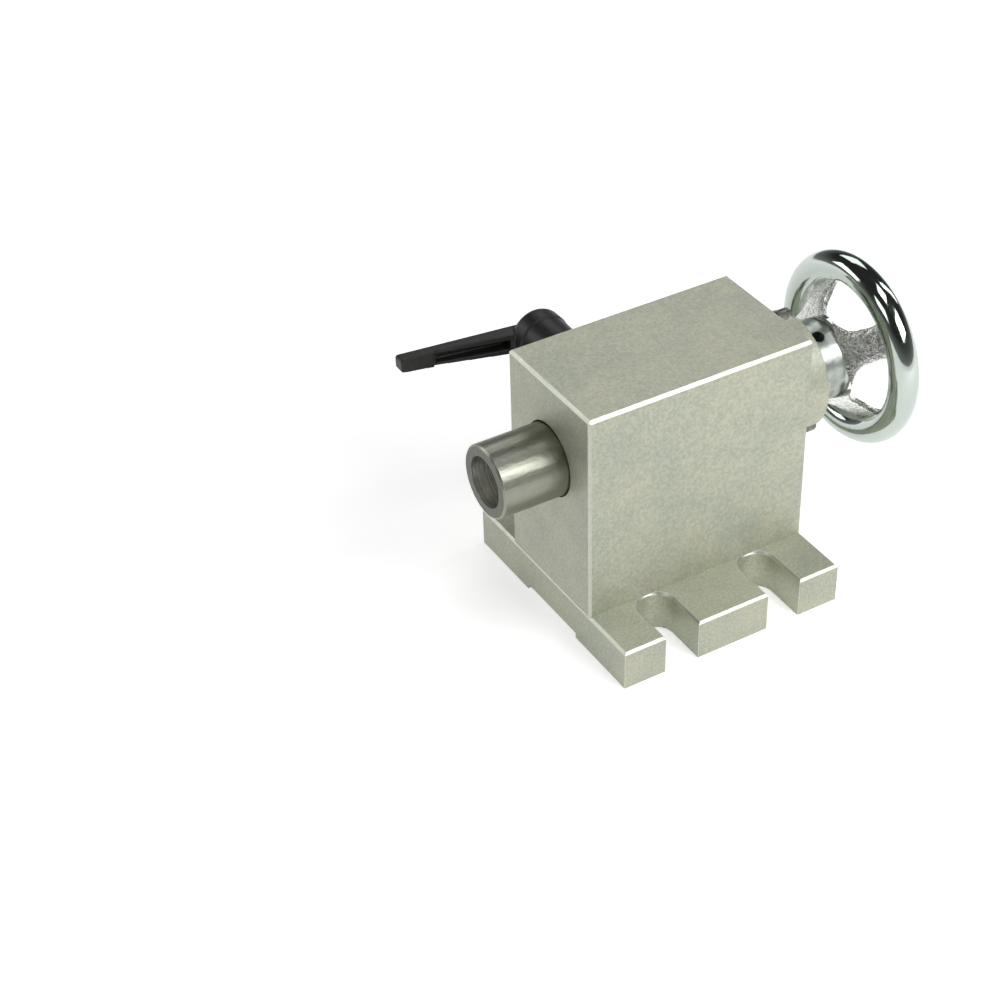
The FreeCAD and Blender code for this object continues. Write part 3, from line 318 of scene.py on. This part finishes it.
def bored_steel_painted_light():
    """The reamed taper socket, whose rings throw the light back out of the mouth; its colour is painted
    far lighter than the quill's outside, with painted bright rings as reflections.
    """
    look = Look("bored_steel_painted_light")
    rings = look.noise(1.0, 3.0, 0.6, look.stretched((2200.0, 8.0, 8.0)))
    # Painted light: the ring colours run much lighter than the quill's outside steel, as painted
    # reflections; the bump is the real rings.
    colour = look.mix(rings, (0.50, 0.50, 0.45), (0.95, 0.95, 0.88))
    rough = look.remap(rings, (0.3, 0.7), (0.22, 0.36))
    return look.finish(colour, 1.0, rough, look.bump(rings, 1.0, 0.00022))


def polished_chrome():
    """Chrome plate over a hand-polished casting, not quite even."""
    look = Look("polished_chrome")
    haze = look.remap(look.noise(420.0, 4.0, 0.6), (0.35, 0.75), (0.05, 0.16))
    normal = look.bump(look.noise(160.0, 2.0), 0.18, 0.00025)
    return look.finish((0.50, 0.56, 0.515), 1.0, haze, normal)


def rough_chrome():
    """Chrome over the sand-cast skin of the spokes: bright and dark sparkle."""
    look = Look("rough_chrome")
    grain = look.noise(1500.0, 3.0, 0.7)
    lumps = look.noise(760.0, 3.0, 0.6)
    pits = look.remap(lumps, (0.35, 0.62))
    colour = look.mix(pits, (0.60, 0.63, 0.58), (1.0, 1.0, 0.96))
    rough = look.remap(grain, (0.3, 0.7), (0.18, 0.34))
    normal = look.bump(grain, 0.5, 0.00015, look.bump(lumps, 0.6, 0.0004))
    return look.finish(colour, 1.0, rough, normal)


def turned_chrome():
    """Chrome over the turned hub: fine rings."""
    look = Look("turned_chrome")
    rings = look.noise(1.0, 4.0, 0.6, look.stretched((5200.0, 60.0, 60.0)))
    cloud = look.remap(look.noise(260.0), (0.3, 0.7))
    colour = look.mix(cloud, (0.36, 0.40, 0.37), (0.56, 0.60, 0.56))
    rough = look.remap(rings, (0.3, 0.7), (0.28, 0.42))
    normal = look.bump(rings, 0.45, 0.00006, look.bump(cloud, 0.12, 0.0004))
    return look.finish(colour, 1.0, rough, normal)


def black_oxide():
    """Blackened steel, a little lighter where it is rubbed."""
    look = Look("black_oxide")
    worn = look.remap(look.noise(900.0, 4.0, 0.65), (0.45, 0.75))
    colour = look.mix(worn, (0.028, 0.028, 0.030), (0.075, 0.073, 0.070))
    rough = look.remap(look.noise(1400.0, 2.0), (0.3, 0.7), (0.34, 0.52))
    return look.finish(colour, 0.7, rough, look.bump(look.noise(2500.0, 2.0), 0.2, 0.00004))


def worn_oxide():
    """Cap screws whose black finish has worn to grey."""
    look = Look("worn_oxide")
    worn = look.remap(look.noise(700.0, 4.0, 0.65), (0.35, 0.65))
    colour = look.mix(worn, (0.10, 0.105, 0.085), (0.34, 0.35, 0.30))
    rough = look.remap(worn, (0.0, 1.0), (0.50, 0.36))
    return look.finish(colour, 0.8, rough, look.bump(worn, 0.2, 0.00004))


def bronze():
    """Turned bronze with brown stains."""
    look = Look("bronze")
    rings = look.noise(1.0, 4.0, 0.6, look.stretched((4200.0, 90.0, 90.0)))
    stain = look.remap(look.noise(240.0, 4.0), (0.35, 0.7))
    colour = look.mix(stain, (0.62, 0.40, 0.15), (0.46, 0.27, 0.10))
    rough = look.remap(rings, (0.3, 0.7), (0.24, 0.42))
    return look.finish(colour, 1.0, rough, look.bump(rings, 0.3, 0.00005))


def moulded_black():
    """Glass-filled black nylon: a satin skin with a very fine spark-eroded grain."""
    look = Look("moulded_black")
    grain = look.noise(2400.0, 3.0, 0.65)
    rubbed = look.remap(look.noise(150.0, 4.0, 0.6), (0.4, 0.75))
    colour = look.mix(rubbed, (0.010, 0.012, 0.010), (0.020, 0.023, 0.020))
    rough = look.remap(grain, (0.3, 0.7), (0.36, 0.52))
    return look.finish(colour, 0.0, rough, look.bump(grain, 0.3, 0.00006), specular=0.45)


def studio_floor():
    """White floor that glows for the camera and in reflections, least near the object and its shadow."""
    look = Look("studio_floor")
    tone = look.remap(look.noise(3.0, 2.0), (0.3, 0.7))
    look.finish(look.mix(tone, (0.90, 0.90, 0.90), (0.92, 0.92, 0.92)), 0.0, 0.9, specular=0.0)
    rays = look.add("LightPath")
    seen = rays.outputs["Is Camera Ray"]
    for kind in ("Is Glossy Ray", "Is Transmission Ray"):
        seen = look.combine("MAXIMUM", seen, rays.outputs[kind])
    away = look.add("VectorMath", operation="LENGTH")
    look.link(look.place, away.inputs[0])
    lift = look.remap(away.outputs["Value"], (FLOOR_NEAR, FLOOR_FAR), (FLOOR_LIFT, 1.0))
    look.feed(look.shader.inputs["Emission Color"], (1.0, 1.0, 1.0))
    look.link(look.combine("MULTIPLY", seen, lift), look.shader.inputs["Emission Strength"])
    return look.material


# ---------------------------------------------------------------- mesh helpers


def new_piece(name, mesh, body, slot, *materials):
    """A piece that rides on a body, with its list of materials."""
    piece = bpy.data.objects.new(name, mesh)
    bpy.context.scene.collection.objects.link(piece)
    for material in materials:
        mesh.materials.append(material)
    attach(piece, body)
    return piece


def smooth_faces(bm, sharp_angle=SHARP_ANGLE):
    """Smooth shading, with sharp edges where the faces turn by more than an angle."""
    for face in bm.faces:
        face.smooth = True
    for edge in bm.edges:
        edge.smooth = edge.calc_face_angle(0.0) < math.radians(sharp_angle)


def mesh_from(bm, name):
    mesh = bpy.data.meshes.new(name)
    bm.to_mesh(mesh)
    bm.free()
    return mesh


def apply_modifiers(piece):
    """Replace a piece's mesh by its evaluated mesh."""
    graph = bpy.context.evaluated_depsgraph_get()
    solid = bpy.data.meshes.new_from_object(piece.evaluated_get(graph))
    piece.modifiers.clear()
    piece.data = solid


def copy_of(node):
    """The mesh of a CAD node with its corners joined and its flat faces whole."""
    bm = bmesh.new()
    bm.from_mesh(NODES[node].data)
    bmesh.ops.remove_doubles(bm, verts=bm.verts, dist=JOIN_DISTANCE)
    bmesh.ops.dissolve_limit(bm, angle_limit=math.radians(FLAT_ANGLE), verts=bm.verts, edges=bm.edges)
    return bm


def from_axis(point):
    """Distance of a point from the quill axis."""
    return math.hypot(point.y, point.z - AXIS_Z)


def block_finish(face):
    """Plain walls, bright chamfers on the outside and painted shade in the mouth round the quill."""
    middle = face.calc_center_median()
    along, across, up = (abs(part) for part in face.normal)
    outside = abs(middle.y) > BLOCK_HIGH.y - CHAMFER or middle.z > BLOCK_HIGH.z - CHAMFER
    if outside and max(along, across, up) < SQUARE:
        return MILLED
    return SHADED_GAP if from_axis(middle) < QUILL_RADIUS + CHAMFER and along < SQUARE else WALL


def base_finish(face):
    """Plain walls with bright chamfers round the top."""
    return MILLED if SLOPING < face.normal.z < SQUARE else WALL


def quill_finish(face):
    """Ground outside; bored in the socket, painted lighter there; painted shade on the nose, the same
    steel painted darker.
    """
    if abs(face.normal.x) > SQUARE:
        return SHADED_NOSE
    return SOCKET if from_axis(face.calc_center_median()) < QUILL_RADIUS - CHAMFER else OUTSIDE


def cap_finish(face):
    """One finish all over."""
    return WALL


def softened(
    name, node, body, slot, materials, finish_of, edge_finish=AS_THE_FACES, width=EDGE_ROUNDING
):
    """A copy of a CAD node with rounded edges, its faces finished as finish_of(face) says."""
    bm = copy_of(node)
    smooth_faces(bm)
    for face in bm.faces:
        face.material_index = finish_of(face)
    piece = new_piece(name, mesh_from(bm, name), body, slot, *materials)
    bevel = piece.modifiers.new("rounded_edges", "BEVEL")
    bevel.width = width
    bevel.segments = BEVEL_SEGMENTS
    bevel.limit_method = "ANGLE"
    bevel.angle_limit = math.radians(SHARP_ANGLE)
    bevel.harden_normals = True
    bevel.use_clamp_overlap = True
    bevel.material = edge_finish
    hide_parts(node)
    return piece


def join_rings(bm, here, there):
    """Faces between two closed rings of points."""
    count = len(here)
    for i in range(count):
        j = (i + 1) % count
        bm.faces.new((here[i], here[j], there[j], there[i]))


def revolved(profile, steps, x0):
    """A closed (x, r) profile revolved about the quill axis."""
    bm = bmesh.new()
    rings = []
    for step in range(steps):
        angle = 2 * math.pi * step / steps
        across, up = -math.cos(angle), math.sin(angle)
        rings.append([bm.verts.new((x0 + x, r * across, AXIS_Z + r * up)) for x, r in profile])
    for step in range(steps):
        join_rings(bm, rings[step], rings[(step + 1) % steps])
    bmesh.ops.recalc_face_normals(bm, faces=bm.faces)
    return bm


def rounded(corners, radius, steps=4, largest_share=0.45):
    """A closed profile with every corner rounded, each by no more than a share of its sides."""
    points = []
    for i, corner in enumerate(corners):
        here = Vector(corner)
        before = Vector(corners[i - 1]) - here
        after = Vector(corners[(i + 1) % len(corners)]) - here
        reach = min(radius, before.length * largest_share, after.length * largest_share)
        start = here + before.normalized() * reach
        end = here + after.normalized() * reach
        for step in range(steps + 1):
            t = step / steps
            points.append(tuple((1 - t) ** 2 * start + 2 * t * (1 - t) * here + t * t * end))
    return points


# ---------------------------------------------------------------- the handwheel


def dish_front(r):
    """Front of the dished web at a radius, behind the front of the hub."""
    rim_front = RIM_X - WEB_THICKNESS / 2
    share = (r - FLARE_RADIUS) / (DISH_RADIUS - FLARE_RADIUS)
    return FLARE_END + min(max(share, DISH_START), 1.0) * (rim_front - FLARE_END)


def wheel_rim(polished, rough):
    """Round rim, left rough on the inside where no polishing wheel reaches."""
    profile = []
    for i in range(RIM_SECTION_STEPS):
        angle = 2 * math.pi * i / RIM_SECTION_STEPS
        profile.append((RIM_X + RIM_SECTION * math.cos(angle), RIM_RADIUS + RIM_SECTION * math.sin(angle)))
    bm = revolved(profile, RIM_STEPS, WHEEL_LOW.x)
    smooth_faces(bm)
    for face in bm.faces:
        inside = from_axis(face.calc_center_median()) < RIM_RADIUS - RIM_INSIDE
        face.material_index = CAST if inside else POLISHED
    return new_piece("wheel_rim", mesh_from(bm, "wheel_rim"), "screw", "chrome", polished, rough)


def wheel_hub(material):
    """Turned hub with its flare, drilled for the set screw."""
    web_front = dish_front(WEB_RADIUS)
    corners = [
        (0.0, HUB_BORE),
        (0.0, HUB_RADIUS),
        (HUB_SHOULDER, HUB_RADIUS),
        (FLARE_END, FLARE_RADIUS),
        (web_front, WEB_RADIUS),
        (web_front + WEB_EDGE, WEB_RADIUS),
        (FLARE_END - WEB_THICKNESS / 2, HUB_REAR_RADIUS),
        (HUB_LENGTH, HUB_REAR_RADIUS),
        (HUB_LENGTH, HUB_BORE),
    ]
    bm = revolved(rounded(corners, HUB_ROUNDING), HUB_STEPS, WHEEL_LOW.x)
    smooth_faces(bm)
    hub = new_piece("wheel_hub", mesh_from(bm, "wheel_hub"), "screw", "chrome", material)
    drill_hub(hub)
    return hub


def drill_hub(hub):
    """Cut the radial hole of the set screw."""
    angle = math.radians(SET_SCREW_ANGLE)
    outward = Vector((0, -math.cos(angle), math.sin(angle)))
    middle = Vector((WHEEL_LOW.x + SET_SCREW_X, 0, AXIS_Z)) + outward * HUB_RADIUS
    turn = outward.to_track_quat("Z", "Y").to_matrix().to_4x4()
    bm = bmesh.new()
    bmesh.ops.create_cone(
        bm,
        cap_ends=True,
        segments=SET_SCREW_STEPS,
        radius1=SET_SCREW_RADIUS,
        radius2=SET_SCREW_RADIUS,
        depth=2 * SET_SCREW_DEPTH,
        matrix=Matrix.Translation(middle) @ turn,
    )
    drill = bpy.data.objects.new("drill", mesh_from(bm, "drill"))
    bpy.context.scene.collection.objects.link(drill)
    hole = hub.modifiers.new("set_screw_hole", "BOOLEAN")
    hole.operation = "DIFFERENCE"
    hole.solver = "EXACT"
    hole.object = drill
    apply_modifiers(hub)
    bpy.data.objects.remove(drill)


def spoke_half_width(r):
    """Straight taper, flared into the web at the root and into the rim."""
    share = (r - WEB_RADIUS) / (RIM_RADIUS - WEB_RADIUS)
    width = SPOKE_ROOT_WIDTH + share * (SPOKE_RIM_WIDTH - SPOKE_ROOT_WIDTH)
    root = max(0.0, 1 - (r - WEB_RADIUS) / ROOT_FLARE_LENGTH)
    rim = min(max(0.0, 1 - (RIM_FLARE_END - r) / RIM_FLARE_LENGTH), RIM_FLARE_LIMIT)
    return width / 2 + ROOT_FLARE * root**2 + RIM_FLARE * rim**2


def section_point(share, half_width):
    """Point of a spoke's section, a rectangle with rounded corners, at a share of its way round."""
    angle = 2 * math.pi * share
    across, through = math.cos(angle), math.sin(angle)
    boxy_across = math.copysign(abs(across) ** SPOKE_BOXINESS, across)
    boxy_through = math.copysign(abs(through) ** SPOKE_BOXINESS, through)
    grow = 1 / max(abs(boxy_across), abs(boxy_through))
    return (
        boxy_across * grow * (half_width - SPOKE_CORNER) + across * SPOKE_CORNER,
        boxy_through * grow * (SPOKE_HALF_DEPTH - SPOKE_CORNER) + through * SPOKE_CORNER,
    )


def cast_skin(point, outward, r):
    """Move a point of a spoke in or out by the grain of the sand casting."""
    fade = min(1.0, max(0.0, (SKIN_END - r) / SKIN_FADE))
    grain = sum(noise.noise(point * waves) * height for waves, height in SKIN_WAVES)
    return point + outward.normalized() * grain * fade


def spoke_rings(angle):
    """Sections of one spoke from inside the web to inside the rim."""
    along = Vector((0, -math.cos(angle), math.sin(angle)))
    side = Vector((0, math.sin(angle), math.cos(angle)))
    rings = []
    for step in range(SPOKE_STEPS + 1):
        r = SPOKE_START + (SPOKE_END - SPOKE_START) * step / SPOKE_STEPS
        middle_x = WHEEL_LOW.x + dish_front(r) + WEB_THICKNESS / 2
        middle = Vector((middle_x, 0, AXIS_Z)) + along * r
        slope = (dish_front(r + SLOPE_STEP) - dish_front(r - SLOPE_STEP)) / (2 * SLOPE_STEP)
        normal = (Vector((1, 0, 0)) - along * slope).normalized()
        ring = []
        for i in range(SPOKE_AROUND):
            across, through = section_point(i / SPOKE_AROUND, spoke_half_width(r))
            outward = side * across + normal * through
            ring.append(cast_skin(middle + outward, outward, r))
        rings.append(ring)
    return rings


def wheel_spokes(material):
    """The four spokes, each a loft through its sections."""
    bm = bmesh.new()
    for index in range(SPOKE_COUNT):
        angle = math.radians(FIRST_SPOKE + 360 * index / SPOKE_COUNT)
        rings = [[bm.verts.new(point) for point in ring] for ring in spoke_rings(angle)]
        for here, there in zip(rings, rings[1:]):
            join_rings(bm, here, there)
        bm.faces.new(rings[0])
        bm.faces.new(rings[-1])
    bmesh.ops.recalc_face_normals(bm, faces=bm.faces)
    smooth_faces(bm, SPOKE_SHARP_ANGLE)
    return new_piece("wheel_spokes", mesh_from(bm, "wheel_spokes"), "screw", "chrome", material)


def handwheel(rim_finish, hub_finish, spoke_finish):
    """The rim, hub and spokes that stand for the one CAD solid."""
    rim = wheel_rim(rim_finish, hub_finish)
    hub = wheel_hub(hub_finish)
    spokes = wheel_spokes(spoke_finish)
    for piece in (rim, hub, spokes):
        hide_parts("handwheel")


# ---------------------------------------------------------------- the lever


def lever_grip(material):
    """The moulded lever: the CAD form with its edges and the root of its arm run together."""
    bm = copy_of("lever_handle")
    bmesh.ops.triangulate(bm, faces=bm.faces)
    piece = new_piece("lever_grip", mesh_from(bm, "lever_grip"), "lever", "black_plastic", material)
    remesh = piece.modifiers.new("skin", "REMESH")
    remesh.mode = "VOXEL"
    remesh.voxel_size = LEVER_VOXEL
    remesh.use_smooth_shade = True
    relax = piece.modifiers.new("mould_radii", "SMOOTH")
    relax.factor = LEVER_SMOOTHING
    relax.iterations = LEVER_SMOOTHING_ROUNDS
    apply_modifiers(piece)
    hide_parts("lever_handle")


def coil_spring(material):
    """The spring under the head of the lever screw, copied from its CAD node; the real spring shortens as
    the lever is lifted, but nothing here shortens it.
    """
    bm = copy_of("lever_spring")
    smooth_faces(bm)
    piece = new_piece("coil_spring", mesh_from(bm, "coil_spring"), "clamp", "spring_steel", material)
    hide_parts("lever_spring")
    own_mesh(piece)


# ---------------------------------------------------------------- the studio


def direction(azimuth, elevation):
    """Unit vector away from the object, at angles in degrees."""
    a, e = math.radians(azimuth), math.radians(elevation)
    return Vector((math.sin(a) * math.cos(e), -math.cos(a) * math.cos(e), math.sin(e)))


def softbox(name, azimuth, elevation, distance, width, height, power):
    """A large area lamp aimed at the object."""
    lamp = bpy.data.lights.new(name, "AREA")
    lamp.shape = "RECTANGLE"
    lamp.size = width
    lamp.size_y = height
    lamp.energy = power
    holder = bpy.data.objects.new(name, lamp)
    bpy.context.scene.collection.objects.link(holder)
    away = direction(azimuth, elevation)
    holder.location = STUDIO_CENTRE + away * distance
    holder.rotation_mode = "QUATERNION"
    holder.rotation_quaternion = (-away).to_track_quat("-Z", "Y")


def floor(material):
    """The plane that the tailstock stands on."""
    bm = bmesh.new()
    bmesh.ops.create_grid(bm, x_segments=FLOOR_CELLS, y_segments=FLOOR_CELLS, size=FLOOR_SIZE)
    plane = bpy.data.objects.new("floor", mesh_from(bm, "floor"))
    plane.data.materials.append(material)
    bpy.context.scene.collection.objects.link(plane)


def world():
    """A grey studio that is dark overhead."""
    studio = bpy.data.worlds.new("studio")
    studio.use_nodes = True
    bpy.context.scene.world = studio
    tree = studio.node_tree
    place = tree.nodes.new("ShaderNodeTexCoord")
    parts = tree.nodes.new("ShaderNodeSeparateXYZ")
    ramp = tree.nodes.new("ShaderNodeValToRGB")
    tree.links.new(place.outputs["Generated"], parts.inputs["Vector"])
    tree.links.new(parts.outputs["Z"], ramp.inputs["Fac"])
    stops = ramp.color_ramp.elements
    stops[0].position = SKY[0][0]
    stops[1].position = SKY[-1][0]
    for position, _ in SKY[1:-1]:
        stops.new(position)
    for stop, (_, level) in zip(stops, SKY):
        stop.color = (level, level, level, 1.0)
    background = tree.nodes["Background"]
    tree.links.new(ramp.outputs["Color"], background.inputs["Color"])
    background.inputs["Strength"].default_value = 1.0


def camera():
    """The camera, turned about its own axis by the roll of the picture."""
    data = bpy.data.cameras.new("camera")
    data.lens = CAMERA_LENS
    data.sensor_width = CAMERA_SENSOR
    data.shift_x, data.shift_y = CAMERA_SHIFT
    data.clip_start, data.clip_end = CAMERA_CLIP
    holder = bpy.data.objects.new("camera", data)
    bpy.context.scene.collection.objects.link(holder)
    azimuth, roll = math.radians(CAMERA_AZIMUTH), math.radians(CAMERA_ROLL)
    back = direction(CAMERA_AZIMUTH, CAMERA_ELEVATION)
    right = Vector((math.cos(azimuth), math.sin(azimuth), 0))
    up = back.cross(right)
    rolled_right = right * math.cos(roll) + up * math.sin(roll)
    rolled_up = up * math.cos(roll) - right * math.sin(roll)
    turn = Matrix((rolled_right, rolled_up, back)).transposed().to_4x4()
    holder.matrix_world = Matrix.Translation(CAMERA_TARGET + back * CAMERA_DISTANCE) @ turn
    bpy.context.scene.camera = holder


# ---------------------------------------------------------------- the whole


def paint(material, *nodes):
    """Give CAD nodes that stay in view a material."""
    for node in nodes:
        NODES[node].data.materials.clear()
        NODES[node].data.materials.append(material)


def castings_and_quill():
    """The block, base, cap and quill, each a softened copy of its CAD node."""
    nickel = blasted_nickel()
    chamfer = milled_edge("milled_chamfer", (0.52, 0.54, 0.46), (0.64, 0.65, 0.57))
    # The corner tones are near white: painted highlights along every rounded edge of the block, base and
    # quill.
    corner = milled_edge("milled_corner_painted_highlight", (0.84, 0.85, 0.78), (0.96, 0.96, 0.90))
    quill_steel = ground_steel("quill_steel", (35.0, 900.0, 900.0), (0.30, 0.31, 0.255), 0.6)
    # The nose is the quill's steel painted darker, as painted shade on its end faces.
    shaded_nose_steel = ground_steel("shaded_nose_steel", (300.0, 300.0, 300.0), (0.125, 0.13, 0.108))
    # The third finish is painted shade in the mouth round the quill.
    milled = (nickel, chamfer, painted_gap_shade(), corner)
    bored = (quill_steel, bored_steel_painted_light(), shaded_nose_steel, corner)
    softened("block_shell", "body_block", "tailstock", "blasted_nickel", milled, block_finish, EDGE_HIGHLIGHT)
    softened("base_casting", "base_plate", "tailstock", "blasted_nickel", milled, base_finish, EDGE_HIGHLIGHT)
    softened("cap_disc", "rear_cap", "tailstock", "blasted_nickel", (nickel,), cap_finish)
    softened(
        "quill_sleeve", "quill", "quill", "ground_steel", bored, quill_finish, EDGE_HIGHLIGHT, QUILL_ROUNDING
    )


def build():
    turned_steel = ground_steel("turned_steel", (4200.0, 90.0, 90.0), (0.55, 0.56, 0.51))
    castings_and_quill()
    handwheel(polished_chrome(), turned_chrome(), rough_chrome())
    lever_grip(moulded_black())
    coil_spring(turned_steel)

    hidden_screws = ("base_screws", "guide_screw", "wheel_set_screw", "nut_set_screw")
    paint(turned_steel, "lead_screw", "thrust_washer", "hub_washer", "wheel_key")
    paint(bronze(), "screw_bushing", "quill_nut", "clamp_pad")
    paint(worn_oxide(), "cap_screws")
    paint(black_oxide(), *hidden_screws, "lever_insert", "lever_screw")

    floor(studio_floor())
    world()
    for lamp in LAMPS:
        softbox(*lamp)
    camera()
    bpy.context.scene.view_settings.view_transform = "Standard"


build()
